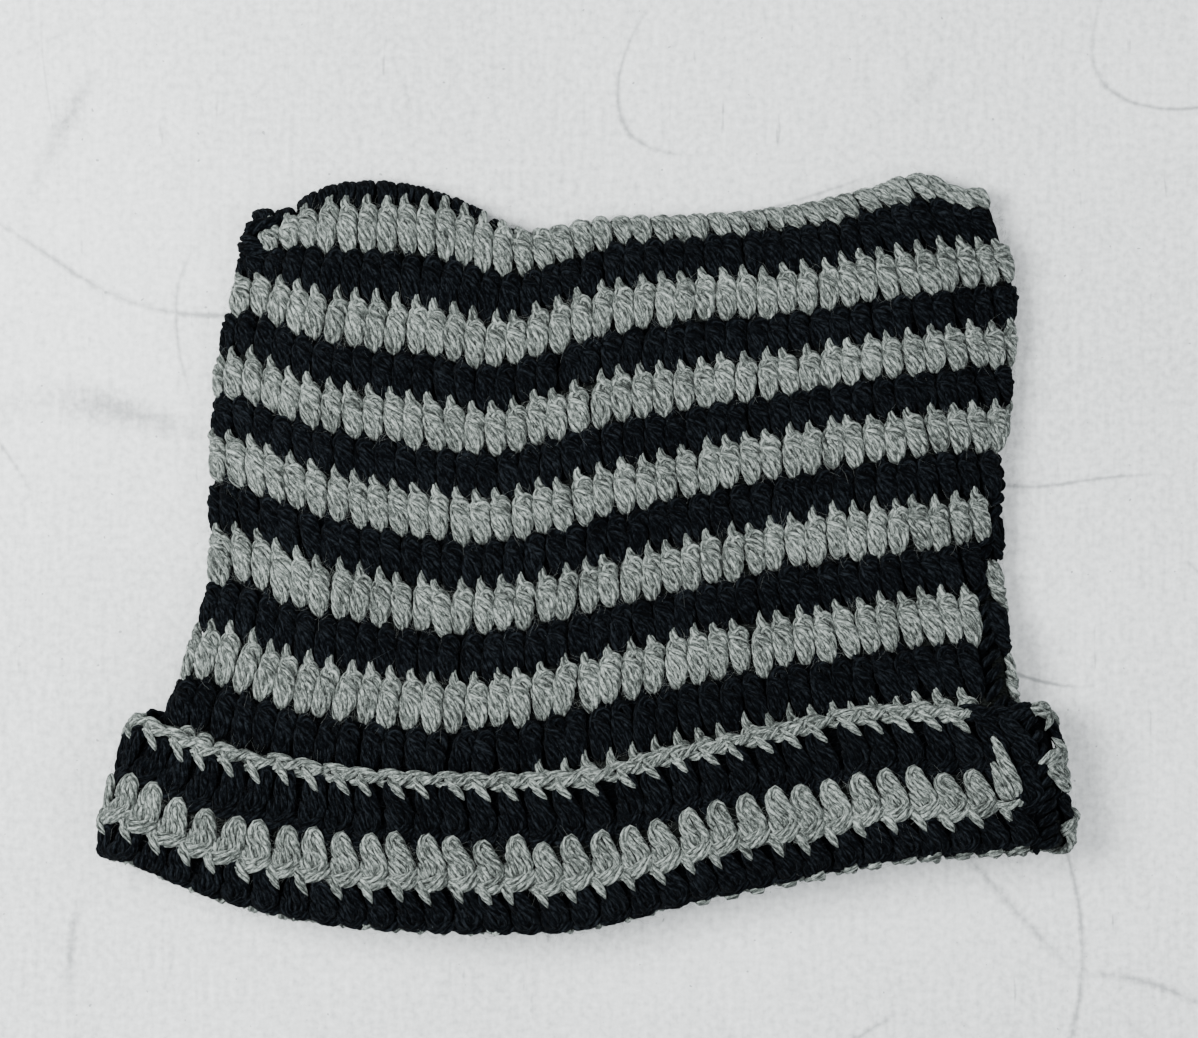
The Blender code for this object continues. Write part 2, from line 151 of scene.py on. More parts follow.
# Strands of a stitch seen from the right side: across, up from the row's top line, out, radius share
BODY_STITCH = (
    ((-1.4, -3.4, 1.2, 0.8), (-2.0, -5.4, 2.2, 1), (-2.0, -8.0, 2.6, 1), (-1.6, -10.8, 2.6, 1),
     (-1.0, -13.0, 2.3, 0.95), (-0.4, -14.8, 0.8, 0.7)),
    ((-1.7, -4.4, 2.0, 0.8), (-0.8, -6.4, 2.8, 0.95), (0.0, -9.0, 3.0, 0.95), (0.35, -11.6, 2.6, 0.9),
     (0.3, -13.8, 1.4, 0.7)),
    ((0.5, -4.6, 2.0, 0.8), (1.5, -6.6, 2.6, 1), (1.95, -9.2, 2.6, 1), (1.7, -11.8, 2.3, 1),
     (1.0, -13.8, 1.5, 0.9), (0.5, -15.0, 0.2, 0.7)),
    ((-2.7, -5.4, 0.2, 0.7), (-2.1, -3.2, 1.8, 0.95), (-0.7, -1.5, 2.6, 1), (1.0, -1.5, 2.7, 1),
     (2.1, -3.2, 2.3, 1), (2.2, -5.4, 1.2, 0.8), (1.8, -6.6, 0.2, 0.6)),
    ((-2.3, -2.8, 1.2, 0.8), (-1.0, -3.8, 2.9, 1), (0.5, -5.2, 3.2, 1), (1.9, -7.2, 2.7, 1),
     (2.4, -9.2, 1.4, 0.8)),
    ((0.2, -2.4, 1.8, 1), (-0.6, -0.8, 2.7, 1.1), (-1.2, 0.9, 3.2, 0.9), (-1.4, 2.4, 3.1, 0.55),
     (-1.4, 4.1, 2.4, 0.1)),
)
BODY_SPIKE = len(BODY_STITCH) - 1
# The same fabric from the wrong side, as the turned-up cuff shows it: across, up, out, radius share
CUFF_STITCH_STRANDS = (
    ((-1.2, 7.6, 0.8, 0.7), (-2.5, 9.6, 2.2, 0.88), (-3.1, 12.4, 2.9, 0.9), (-2.7, 15.0, 3.2, 0.9),
     (-1.4, 16.2, 3.3, 0.88), (-0.1, 15.0, 3.3, 0.9), (0.9, 12.4, 3.3, 0.93), (1.9, 9.8, 3.2, 0.93),
     (2.6, 7.6, 3.0, 0.93), (2.3, 5.6, 2.4, 0.88), (0.9, 4.4, 1.2, 0.7)),
    ((-1.7, 14.6, 2.4, 0.8), (-1.3, 12.6, 3.1, 0.88), (-0.6, 10.4, 3.1, 0.9), (0.3, 8.4, 3.0, 0.9),
     (0.7, 6.6, 2.6, 0.88), (0.2, 5.0, 1.6, 0.7)),
    ((-1.7, 9.8, 1.4, 0.8), (-1.5, 7.8, 2.4, 0.9), (-1.3, 5.6, 2.8, 0.9), (-0.7, 3.8, 2.2, 0.8),
     (0.0, 2.6, 0.8, 0.6)),
    ((-3.4, 8.2, 0.8, 0.7), (-3.0, 6.6, 2.0, 0.88), (-2.7, 4.8, 2.4, 0.88), (-2.0, 3.2, 1.8, 0.8),
     (-1.2, 2.2, 0.6, 0.6)),
    ((-5.2, 2.0, 1.0, 0.8), (-3.6, 0.9, 3.0, 0.95), (-1.0, 0.6, 3.6, 0.98), (1.5, 1.5, 3.6, 0.98),
     (3.5, 3.0, 2.8, 0.92), (5.0, 4.2, 1.0, 0.8)),
    ((-3.8, 3.2, 1.8, 0.7), (-1.8, 2.7, 3.3, 0.85), (0.6, 3.4, 3.6, 0.85), (2.6, 4.8, 2.8, 0.8),
     (4.0, 6.0, 1.0, 0.7)),
    ((-3.5, 2.6, 2.4, 1), (-2.9, 0.6, 4.0, 1.15), (-2.2, -1.3, 4.5, 1.0), (-1.4, -3.0, 4.2, 0.65),
     (-0.7, -4.8, 3.2, 0.1)),
)
# The tall stitch that closes the cuff's grey row at its right end
END_STITCH = (
    ((-5.0, 26.0, 3.0, 0.5), (-3.4, 21.5, 4.8, 0.95), (-1.5, 16.0, 4.8, 1), (-0.1, 11.0, 4.0, 1),
     (0.1, 7.4, 2.8, 0.9), (-1.2, 5.4, 1.2, 0.7)),
    ((-5.4, 17.5, 2.4, 0.7), (-5.1, 14.0, 3.6, 1), (-4.8, 10.5, 3.2, 1), (-4.1, 7.0, 2.6, 1),
     (-2.6, 4.4, 1.2, 0.7)),
    ((-4.4, 22.5, 3.6, 0.7), (-3.0, 16.0, 4.4, 1), (-2.4, 11.0, 3.4, 1), (-2.2, 7.0, 2.6, 1),
     (-2.0, 4.6, 1.2, 0.7)),
    ((-6.6, 3.4, 1.2, 0.9), (-4.6, 2.4, 2.8, 1), (-2.0, 2.2, 3.0, 1), (0.2, 4.0, 2.4, 0.9),
     (1.2, 6.0, 0.6, 0.7)),
    ((-4.6, 3.4, 1.6, 0.9), (-4.0, 0.8, 3.0, 1), (-3.3, -1.4, 3.4, 0.8), (-2.6, -3.2, 3.0, 0.4),
     (-2.2, -4.4, 2.2, 0.1)),
)
END_STITCH_ROOM = 10 * MM  # left free for it at the row's right end
END_STITCH_BEYOND = 9.4 * MM  # how far it stands past the row's last stitch
CORNER_STITCH_IN = 3.4 * MM  # from the cuff's right end to the black stitch that fills its corner
# Black strands that close the crown's corner over the grey row's left end: across from the side, up from row
# line 1, out, radius share
CORNER_WRAPS = (
    ((10.0, 1.5, 1.0, 0.9), (6.4, -0.2, 3.2, 1.3), (2.8, -1.6, 3.8, 1.45), (-0.2, -3.0, 3.0, 1.35),
     (-2.2, -4.4, 0.6, 0.9)),
    ((8.0, -14.5, 1.0, 0.9), (5.4, -12.0, 3.2, 1.25), (2.8, -9.4, 3.8, 1.45), (0.0, -7.4, 3.2, 1.35),
     (-2.2, -6.4, 0.6, 0.9)),
    ((10.5, -17.0, 1.0, 0.9), (6.8, -16.0, 3.2, 1.25), (3.0, -14.4, 3.8, 1.45), (-0.2, -12.4, 3.2, 1.35),
     (-2.2, -11.4, 0.6, 0.9)),
)
TAPER = 3 * MM  # how far from the left side the crown's grey row starts
BLACK_CORNER = 15 * MM  # how far from the cuff's right end its grey chain stops
# The chain along the cuff's free edge: across, up from the chain's foot, out, radius share
CHAIN_STRANDS = (
    ((-5.6, 0.8, 0.9, 0.6), (-3.4, 0.3, 2.3, 0.85), (-0.6, 0.9, 3.1, 0.95), (2.2, 2.2, 3.0, 0.95),
     (4.6, 3.4, 2.0, 0.8), (5.8, 3.6, 0.8, 0.6)),
    ((-5.2, 3.8, 0.8, 0.6), (-3.0, 4.2, 2.0, 0.85), (-0.2, 3.8, 2.6, 0.95), (2.4, 2.8, 2.4, 0.9),
     (4.6, 1.2, 1.6, 0.7), (5.6, 0.4, 0.4, 0.5)),
    ((-1.9, 2.6, 2.0, 0.9), (-0.9, 0.6, 3.8, 1.0), (0.6, -1.5, 4.4, 0.85), (1.9, -3.2, 4.2, 0.55),
     (2.8, -4.6, 3.2, 0.1)),
)
# The yarn that draws a side seam together: across the seam, up, out, radius share
SEAM_STRAND = ((-2.9, -2.2, -0.9, 0.7), (-1.8, -1.2, 1.0, 0.95), (0, 0.2, 1.9, 1), (1.8, 1.4, 1.2, 0.95),
               (2.9, 2.3, -0.7, 0.7))
SEAM_PITCH, SEAM_START = 0.3, 0.2  # of a row: from one such stitch to the next, and to the first
SEAM_OUT, SEAM_LEAN_SPREAD = 0.3, 0.2  # mm further out than other stitches; and how much their lean differs

# The thin panel under the stitches
CORE = 0.5  # mm, half its thickness
CORE_SUNK = 1.5  # mm by which it lies behind the middle of the CAD fabric
CORE_INTO_SEAM = 1.2 * MM  # how much further than the stitches it reaches into a side seam
CORE_RIPPLE = 0.35  # mm by which it rises under each stitch
CORE_STEPS, CORE_COLUMNS = 8, 110  # cross-sections to a row, and points along it

# Loose fibres
HAIRS = 10500  # in each piece
HAIR_SIDES, HAIR_SAMPLES = 3, 3
HAIR_R, HAIR_TAPER = 0.03, 0.014  # mm: radius at the root, and how much thinner the tip is
HAIR_BACK_SHARE = 0.25  # of the hairs stand on the back
HAIR_LOW, HAIR_HIGH = 0.8, 2.7  # mm out of the fabric's middle at the root
HAIR_REACH, HAIR_SHAPE, HAIR_SCALE = 0.8, 3.0, 0.72  # mm, and the gamma spread of what comes on top
HAIR_RISE, HAIR_CURL, HAIR_DROOP = (0.1, 0.75), 0.5, (0.2, 1.0)
HAIR_INSET = 3 * MM  # kept off a row's ends
BLACK_END_INSET = 14 * MM  # the same on the rows that end in black: the crown's and the cuff's grey row

# Colours of the yarns, from grooves to crests, and of the table. The yarns' groove colours carry painted
# shade between the plies and their crest colours painted highlight
GREYS = ((0.008, 0.0095, 0.0088, 1), (0.093, 0.107, 0.099, 1), (0.39, 0.438, 0.408, 1))
BLACKS = ((0.0004, 0.0005, 0.0007, 1), (0.0012, 0.0017, 0.0024, 1), (0.0115, 0.0145, 0.018, 1))
GREY_HAIRS = ((0.15, 0.165, 0.155, 1), (0.3, 0.325, 0.31, 1), (0.5, 0.54, 0.51, 1))
# The black fibres are coloured lighter than the black yarn: painted sheen
BLACK_HAIRS_PAINTED_SHEEN = ((0.004, 0.005, 0.006, 1), (0.012, 0.014, 0.017, 1), (0.03, 0.034, 0.042, 1))
# Painted shade: the grey rows' panel under the stitches, much darker than the grey yarn
SHADED_CORE_GREYS = ((0.004, 0.0045, 0.004, 1), (0.014, 0.016, 0.015, 1), (0.03, 0.033, 0.03, 1))
TABLE_TONES = ((0.35, (0.36, 0.375, 0.38, 1)), (0.70, (0.755, 0.778, 0.776, 1)),
               (0.90, (0.955, 0.98, 0.98, 1)))
NO_MARK, MARK = (0, 0, 0, 1), (1, 1, 1, 1)
GROOVE_TO_CREST = (0.24, 0.5, 0.8)  # where the three colours of a yarn stand on its scale of tones

# Fibres on the yarn: their texture's scale round it, along it (per mm) and from strand to strand, their
# slant off the plies as a share of the twist, their weight in the tone, what is taken off it, their relief
FIBRES_AROUND, FIBRES_ALONG, FIBRES_APART = 17.0, 0.5, 9.0
FIBRE_SLANT = -0.2
FIBRE_WEIGHT, DARKER = 1.7, -0.86
FIBRE_BUMP = 0.5 * MM
TABLE_BUMP = 0.15 * MM
SCRATCHES = ((2.3, 0.3, 11), (5.1, 1.2, 8), (3.7, 2.2, 14), (7.3, 4.1, 10))  # scale, turn, scale of gaps


# ---- surface

def curve_through(points):
    """A smooth function through (position, value) points, held flat past its ends."""
    points = sorted(points)
    xs, ys = np.array([p[0] for p in points], float), np.array([p[1] for p in points], float)
    before, after = np.r_[0, np.arange(len(xs) - 1)], np.r_[np.arange(1, len(xs)), len(xs) - 1]
    slopes = (ys[after] - ys[before]) / (xs[after] - xs[before])

    def value(at):
        at = np.clip(at, xs[0], xs[-1])
        i = np.clip(np.searchsorted(xs, at, side="right") - 1, 0, len(xs) - 2)
        span = xs[i + 1] - xs[i]
        t = (at - xs[i]) / span
        return ((1 + 2 * t) * (1 - t) ** 2 * ys[i] + t * (1 - t) ** 2 * span * slopes[i]
                + t * t * (3 - 2 * t) * ys[i + 1] + t * t * (t - 1) * span * slopes[i + 1])

    return value


def line_through(points):
    """The same with straight lines between the points."""
    points = sorted(points)
    xs, ys = [p[0] for p in points], [p[1] for p in points]
    return lambda at: np.interp(at, xs, ys)


def ease(t):
    """0 below 0, 1 above 1, and smooth between."""
    t = np.clip(t, 0.0, 1.0)
    return t * t * (3 - 2 * t)


def mix(a, b, t):
    return a + (b - a) * t


left_side, right_side = curve_through(LEFT_SIDE), curve_through(RIGHT_SIDE)
cuff_left, cuff_right = curve_through(CUFF_LEFT), curve_through(CUFF_RIGHT)
crown_outline = curve_through(CROWN)
past_left, past_right = line_through(PAST_LEFT), line_through(PAST_RIGHT)
cuff_line, back_at_right = line_through(CUFF_LINES), line_through(BACK_AT_RIGHT)
row_at_height = line_through([(height, row) for row, height in CUFF_LINES])
sag_of = {shape: curve_through(shape) for shape in (SAG_UPPER, SAG_MIDDLE, SAG_FOLD)}

QUARTER = math.pi / 2 * FOLD_R  # length of fabric from a fold's middle to where it is flat
TAKEN_UP = QUARTER - FOLD_R  # how much shorter a fold makes the fabric look


def askew(u):
    """How far along its shift from the left to the right side a row is, at a share u of the width."""
    return ease((u - ASKEW_FROM) / ASKEW_OVER)


def ridge_row(u):
    return mix(RIDGE_LEFT, RIDGE_RIGHT, askew(u))


def ridge_y(u):
    """y of the crown's ridge, at the middle of the fabric."""
    return crown_outline(u) * MM - FABRIC / 2


def line_y(line, u):
    _, left, right, sag, shape = line
    return (mix(left, right, u) - sag * sag_of[shape](u)) * MM


def fold_y(u):
    """y of the cuff's fold, at the middle of the fabric."""
    return line_y(ROW_LINES[-1], u) + FABRIC / 2


def row_y(u, row):
    """y of a front row line, as if the fabric taken up by the crown and the fold lay flat."""
    rows = [ridge_row(u)] + [np.full_like(u, line[0], dtype=float) for line in ROW_LINES]
    ys = [ridge_y(u) + TAKEN_UP] + [line_y(line, u) for line in ROW_LINES[:-1]] + [fold_y(u) - TAKEN_UP]
    y = mix(ys[0], ys[1], (row - rows[0]) / (rows[1] - rows[0]))
    for i in range(1, len(ROW_LINES)):
        y = np.where(row > rows[i], mix(ys[i], ys[i + 1], (row - rows[i]) / (rows[i + 1] - rows[i])), y)
    return y


def front_row(u, row):
    """The front row line that lies where a row line of the back does."""
    return mix(1 - row, back_at_right(row), askew(u))


def bend(length):
    """Fabric this far from a fold's middle: its depth behind it, and its share of a flat layer's rise."""
    far = length >= QUARTER
    angle = np.clip(length / FOLD_R, 0, math.pi / 2)
    return (np.where(far, length - TAKEN_UP, FOLD_R * (1 - np.cos(angle))),
            np.where(far, 1.0, np.sin(angle)))


def across(left, right, radius, share, openness):
    """x at a share of the length from side to side, the depth behind the nearer side, and its share of rise.
    With openness 0 the sides are round, and with 1 they are the open ends of a fold."""
    whole = right - left + (math.pi - 2) * radius
    near = np.minimum(share, 1 - share) * whole
    angle = np.clip(near / radius, 0, math.pi / 2)
    turned = near < math.pi / 2 * radius
    depth = np.where(turned, radius * (1 - np.cos(angle)), near - (math.pi / 2 - 1) * radius)
    rise = np.where(turned, np.sin(angle), 1.0)
    depth = mix(depth, np.minimum(share, 1 - share) * (right - left), openness)
    return np.where(share < 0.5, left + depth, right - depth), depth, mix(rise, 1, openness)


def swell(depth, radius):
    """Share of a panel's full height that it has reached, this far behind an edge."""
    return np.sin(math.pi / 2 * np.clip((depth - radius) / DOME, 0, 1))


def surface(length, row):
    """Points of the fabric's middle: length across the hat from its left side, row down the panel."""
    length, row = np.broadcast_arrays(np.asarray(length, float), np.asarray(row, float))
    share = length / LOOP
    u = np.clip((share - LEVEL_SHARE) / (1 - 2 * LEVEL_SHARE), 0, 1)
    over = row < ridge_row(u)
    line = np.where(over, front_row(u, row), row)
    side = np.where(over, -1.0, 1.0)
    side = np.where((share < 0) | (share > 1), -side, side)
    share = np.where(share < 0, -share, np.where(share > 1, 2 - share, share))
    on_cuff = line > FOLD_ROW
    fold = fold_y(u)
    height = cuff_line(line) * MM * mix(CUFF_END_SHARE, 1, ease(u / 0.2) * ease((1 - u) / 0.25))
    cuff_depth, cuff_rise = bend(height)
    flat_y = row_y(u, np.minimum(line, FOLD_ROW))
    body_depth, body_rise = bend(flat_y - fold + TAKEN_UP)
    ridge_depth, ridge_rise = bend(np.abs(ridge_y(u) + TAKEN_UP - flat_y))
    y = np.where(on_cuff, fold + cuff_depth,
                 np.where(body_rise < 1, fold + body_depth, ridge_y(u) - ridge_depth))
    folding = (1 - np.where(on_cuff, cuff_rise, body_rise)) * FOLD_R
    ridge_rise = np.where(on_cuff, 1.0, ridge_rise)
    outer_left = cuff_left(y / MM) * MM + FABRIC / 2
    outer_right = cuff_right(y / MM) * MM - FABRIC / 2
    onto_cuff = ease((fold + CUFF_EDGE + STEP_UP + STEP_GAP - y) / STEP_UP)
    mouth = ease((fold + MOUTH_FROM - y) / MOUTH_OVER)
    body_left = mix(left_side(y / MM) * MM + FABRIC / 2, outer_left + 2 * FOLD_R, mouth) - folding
    body_right = mix(right_side(y / MM) * MM - FABRIC / 2, outer_right - 2 * FOLD_R, mouth) + folding
    left = np.where(on_cuff, outer_left + folding, body_left)
    right = np.where(on_cuff, outer_right - folding, body_right)
    radius = np.where(on_cuff, SIDE_MOUTH_R + 2 * FOLD_R - folding,
                      mix(FOLD_R, SIDE_MOUTH_R, onto_cuff) + folding)
    side_z = np.where(on_cuff, SIDE_MOUTH_Z, mix(SIDE_CROWN_Z, SIDE_MOUTH_Z, onto_cuff))
    front = np.where(on_cuff, FRONT_MOUTH_Z + 2 * FOLD_R - folding,
                     mix(FRONT_CROWN_Z, FRONT_MOUTH_Z, onto_cuff) + folding)
    back = np.where(on_cuff, BACK_Z + folding, mix(BACK_Z, BACK_OVER_CUFF_Z, onto_cuff) - folding)
    swelling = np.where(on_cuff, 1.0, swell(ridge_depth, FOLD_R))
    openness = np.where(on_cuff, 0.0, 1 - ease(ridge_depth / OPEN_OVER))
    x, side_depth, side_rise = across(left, right, radius, share, openness)
    full = np.where(side > 0, front - side_z, side_z - back) - radius
    rise = radius * side_rise * ridge_rise + full * swell(side_depth, radius) * swelling
    return np.stack((x, y, side_z + side * rise), -1) - CENTRE


def place(length, row, out):
    """Points standing out of the fabric's right side by out, in metres, and its normals there."""
    step = 0.25 * MM
    low, high = length - step, length + step
    near_left, near_right = (length >= 0) & (length < step), (length <= LOOP) & (length > LOOP - step)
    low, high = np.where(near_left, 0, low), np.where(near_left, 2 * step, high)
    low, high = np.where(near_right, LOOP - 2 * step, low), np.where(near_right, LOOP, high)
    along = surface(high, row) - surface(low, row)
    down = surface(length, row + step / ROW) - surface(length, row - step / ROW)
    normal = np.cross(down, along)
    normal /= np.maximum(np.linalg.norm(normal, axis=-1, keepdims=True), 1e-12)
    return surface(length, row) + normal * np.asarray(out)[..., None], normal


# ---- yarn

def smooth_path(points, samples):
    """A smooth curve through a strand's points, evenly sampled by its own length."""
    points = np.array(points, float)
    steps = np.r_[0, np.cumsum(np.linalg.norm(np.diff(points[:, :3], axis=0), axis=1))]
    t = np.linspace(0, steps[-1], samples)
    return np.stack([curve_through(list(zip(steps, points[:, c])))(t) for c in range(points.shape[1])], -1)


def frames_along(paths):
    """A twist-free pair of normals along each path: paths is (strands, samples, 3)."""
    tangents = np.gradient(paths, axis=1)
    tangents /= np.maximum(np.linalg.norm(tangents, axis=-1, keepdims=True), 1e-12)
    helper = np.where(np.abs(tangents[:, 0, 2:3]) < 0.8, np.array([[0, 0, 1.0]]), np.array([[1.0, 0, 0]]))
    normal = np.cross(tangents[:, 0], helper)
    normal /= np.linalg.norm(normal, axis=-1, keepdims=True)
    normals = [normal]
    for i in range(paths.shape[1] - 1):
        v1 = paths[:, i + 1] - paths[:, i]
        c1 = np.maximum((v1 * v1).sum(-1, keepdims=True), 1e-18)
        reflected = normal - 2 / c1 * (v1 * normal).sum(-1, keepdims=True) * v1
        t1 = tangents[:, i] - 2 / c1 * (v1 * tangents[:, i]).sum(-1, keepdims=True) * v1
        v2 = tangents[:, i + 1] - t1
        c2 = np.maximum((v2 * v2).sum(-1, keepdims=True), 1e-12)
        normal = reflected - 2 / c2 * (v2 * reflected).sum(-1, keepdims=True) * v2
        normal /= np.linalg.norm(normal, axis=-1, keepdims=True)
        normals.append(normal)
    normals = np.stack(normals, 1)
    return normals, np.cross(tangents, normals)


class Yarn:
    """Collects swept strands, then makes one mesh of them."""

    def __init__(self):
        self.points, self.faces, self.uvs, self.tones, self.crests, self.count = [], [], [], [], [], 0

    def sweep(self, paths, radii, sides):
        """Adds strands: paths (strands, samples, 3) and radii (strands, samples), in metres."""
        strands, samples = paths.shape[:2]
        normals, binormals = frames_along(paths)
        steps = np.linalg.norm(np.diff(paths, axis=1), axis=-1)
        lengths = np.concatenate([np.zeros((strands, 1)), np.cumsum(steps, axis=1)], axis=1)
        start = rng.uniform(0, 2 * math.pi, (strands, 1))
        twist = start - lengths / (TWIST_LENGTH * MM) * 2 * math.pi
        angles = twist[..., None] + np.arange(sides) * 2 * math.pi / sides
        plies = PLIES if sides == FULL_SIDES else COARSE_PLIES
        lobe = -np.cos(np.arange(sides) * 2 * math.pi * plies / sides)
        bulge = PLY_MEAN + PLY_DEPTH * lobe if sides >= COARSE_SIDES else np.full(sides, PLAIN_RADIUS)
        ring = radii[..., None] * bulge
        points = (paths[:, :, None] + normals[:, :, None] * (ring * np.cos(angles))[..., None]
                  + binormals[:, :, None] * (ring * np.sin(angles))[..., None])
        points = points.reshape(strands, samples * sides, 3)
        caps = np.stack([paths[:, 0], paths[:, -1]], 1)
        points = np.concatenate([points, caps], 1)
        i, j = np.meshgrid(np.arange(samples - 1), np.arange(sides), indexing="ij")
        k = (j + 1) % sides
        quads = np.stack([i * sides + j, (i + 1) * sides + j, (i + 1) * sides + k, i * sides + k], -1)
        quads = quads.reshape(-1, 4)
        ring_j, ring_k = np.arange(sides), (np.arange(sides) + 1) % sides
        first, last = samples * sides, samples * sides + 1
        end = (samples - 1) * sides
        cap_faces = np.concatenate([np.stack([np.full(sides, first), ring_j, ring_k], -1),
                                    np.stack([np.full(sides, last), end + ring_k, end + ring_j], -1)])
        base = self.count + np.arange(strands)[:, None, None] * points.shape[1]
        self.faces.append((quads[None] + base).reshape(-1, 4))
        self.faces.append((cap_faces[None] + base).reshape(-1, 3))
        v = lengths / MM
        quad_u = np.stack([j, j, j + 1, j + 1], -1).reshape(-1, 4) / sides
        quad_v = v[:, np.stack([i, i + 1, i + 1, i], -1).reshape(-1, 4)]
        quad_uv = np.stack([np.broadcast_to(quad_u, quad_v.shape), quad_v], -1)
        quad_uv[..., 0] += np.floor(rng.uniform(0, 40, (strands, 1, 1)))
        self.uvs.append(quad_uv.reshape(-1, 2))
        self.uvs.append(np.zeros((strands * len(cap_faces) * 3, 2)))
        self.tones.append(np.repeat(rng.normal(0, 1, strands), points.shape[1]))
        # crest is 1 on a ply's crest and 0 in its groove: the material paints highlight on crests and shade
        # in grooves by it
        crest = np.concatenate([np.tile((lobe + 1) / 2, samples), [0.5, 0.5]])
        self.crests.append(np.tile(crest, strands))
        self.points.append(points.reshape(-1, 3))
        self.count += strands * points.shape[1]

    def piece(self, name, material):
        """Makes the one mesh, as a piece of the hat."""
        points = np.concatenate(self.points)
        points[:, 2] = np.maximum(points[:, 2], LOWEST)
        mesh = bpy.data.meshes.new(name)
        sizes = np.concatenate([np.full(len(f), f.shape[1]) for f in self.faces])
        loops = np.concatenate([f.reshape(-1) for f in self.faces])
        mesh.vertices.add(len(points))
        mesh.vertices.foreach_set("co", points.astype(np.float32).ravel())
        mesh.loops.add(len(loops))
        mesh.loops.foreach_set("vertex_index", loops.astype(np.int32))
        mesh.polygons.add(len(sizes))
        mesh.polygons.foreach_set("loop_start", np.r_[0, np.cumsum(sizes)[:-1]].astype(np.int32))
        mesh.polygons.foreach_set("use_smooth", np.ones(len(sizes), bool))
        uv = mesh.uv_layers.new(name="strand")
        uv.data.foreach_set("uv", np.concatenate(self.uvs).astype(np.float32).ravel())
        for label, values in (("tone", self.tones), ("crest", self.crests)):
            attribute = mesh.attributes.new(label, "FLOAT", "POINT")
            attribute.data.foreach_set("value", np.concatenate(values).astype(np.float32))
        mesh.update()
        mesh.validate()
        obj = bpy.data.objects.new(name, mesh)
        obj.data.materials.append(material)
        bpy.context.scene.collection.objects.link(obj)
        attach(obj, "root")
        return obj


def jitter(count, samples, size):
    """Slow random wandering of each strand, in mm: (count, samples)."""
    knots = rng.normal(0, size, (count, WANDER_KNOTS))
    at = np.linspace(0, WANDER_KNOTS - 1, samples)
    low = np.minimum(at.astype(int), WANDER_KNOTS - 2)
    t = ease(at - low)
    return knots[:, low] * (1 - t) + knots[:, low + 1] * t


def up_from(line, out_sign):
    """Turns mm of a stitch's height above a row line into row lines. The wrong side is laid upside down."""
    return lambda y: line - out_sign * y / ROW_MM


def lay_stitches(yarn, strands, centres, to_row, out_sign, samples, sides, width=1.0, lean=0.0, tall=1.0):
    """Lays one stitch at each centre, in metres along the row: on the right side with out_sign 1, on the
    wrong side with -1. It leans about its middle, but what reaches past its own row leans no further."""
    count = len(centres)
    lean = (rng.normal(0, LEAN_SPREAD, count) - lean)[:, None]
    tall = (rng.normal(1, TALL_SPREAD, count) * tall)[:, None]
    shift_x, shift_y = rng.normal(0, ACROSS_SPREAD, (count, 1)), rng.normal(0, UP_SPREAD, (count, 1))
    plump = rng.normal(1, YARN_SPREAD, (count, 1))
    for strand in strands:
        number = max(FEWEST_SAMPLES, int(round(samples * len(strand) / LONGEST_STRAND)))
        path = smooth_path(strand, number)
        x, y, out, share = (path[None, :, c] for c in range(4))
        above = y + 0.5 * ROW_MM * out_sign
        leaning = lean * np.clip(above, -0.5 * ROW_MM, 0.5 * ROW_MM)
        x = x * width + leaning + shift_x + jitter(count, number, WANDER)
        y = y * tall + shift_y
        out = out - SINK + jitter(count, number, WANDER)
        points, _ = place(centres[:, None] + x * MM, to_row(y), out_sign * out * MM)
        yarn.sweep(points, share * plump * YARN_R * MM * np.ones((count, number)), sides)


def centres_between(start, end, pitch, phase):
    """Stitch centres between two lengths, on one grid for the whole hat, so that rows keep their shift."""
    pitch *= MM
    first = math.ceil((start - LOOP / 2) / pitch - phase + END_ROOM)
    last = math.floor((end - LOOP / 2) / pitch - phase - END_ROOM)
    return LOOP / 2 + (np.arange(first, last + 1) + phase) * pitch


# ---- rows

def colour_of(row):
    return "grey" if row % 2 else "black"


def node_of(row):
    """The CAD node of a row: the back's rows are numbered from the crown, as the front's are."""
    word, number = colour_of(row), 1 - row
    if row == BACK_HEM_ROW:
        return "back_hem_chain"
    if row <= BACK_FOLD_ROW:
        return f"back_cuff_row_{number:02d}_{word}"
    if row < 0:
        return f"back_row_{number:02d}_{word}"
    if row < 2:
        return f"crown_row_{word}"
    if row < FOLD_ROW:
        return f"front_row_{row:02d}_{word}"
    return f"front_cuff_row_{row:02d}_{word}" if row < HEM_ROW - 1 else "front_hem_chain"


def row_ends(row):
    """Lengths where a row line starts and ends: the front's pass the sides, and the back's start there."""
    if row >= RIDGE_RIGHT:
        return -past_left(row) * MM - INTO_SEAM, LOOP + past_right(row) * MM + INTO_SEAM
    left, right = past_left(front_row(0, row)) * MM, past_right(front_row(1, row)) * MM
    gap = (SEAM - INTO_SEAM) * ease(1 - row)
    return left + gap * (left > 0), LOOP - right - gap


def back_row(u, line):
    """The row line of the back that lies where this front row line does: front_row's inverse at the hem."""
    (beyond, beyond_line), (hem, hem_line) = BACK_AT_RIGHT[:2]
    slope = (beyond_line - hem_line) / (beyond - hem)
    a = askew(u)
    return (line - mix(1, hem_line - slope * hem, a)) / mix(-1, slope, a)


def share_across(length):
    """Share of the hat's width at a length along a row."""
    return np.clip((length / LOOP - LEVEL_SHARE) / (1 - 2 * LEVEL_SHARE), 0, 1)


def laid_low(strands, which, by):
    """The same strands with one of them lowered, so that it stays under the neighbouring row."""
    low = tuple((x, y, out - by, share) for x, y, out, share in strands[which])
    return strands[:which] + (low,) + strands[which + 1:]


def cuff_stitch(colour):
    """The stitch from the wrong side. A black one is lowered in parts, so that grey spikes cross it."""
    strands = CUFF_STITCH_STRANDS
    for which, by in BLACK_CUFF_LOWERED if colour == "black" else ():
        strands = laid_low(strands, which, by)
    return strands


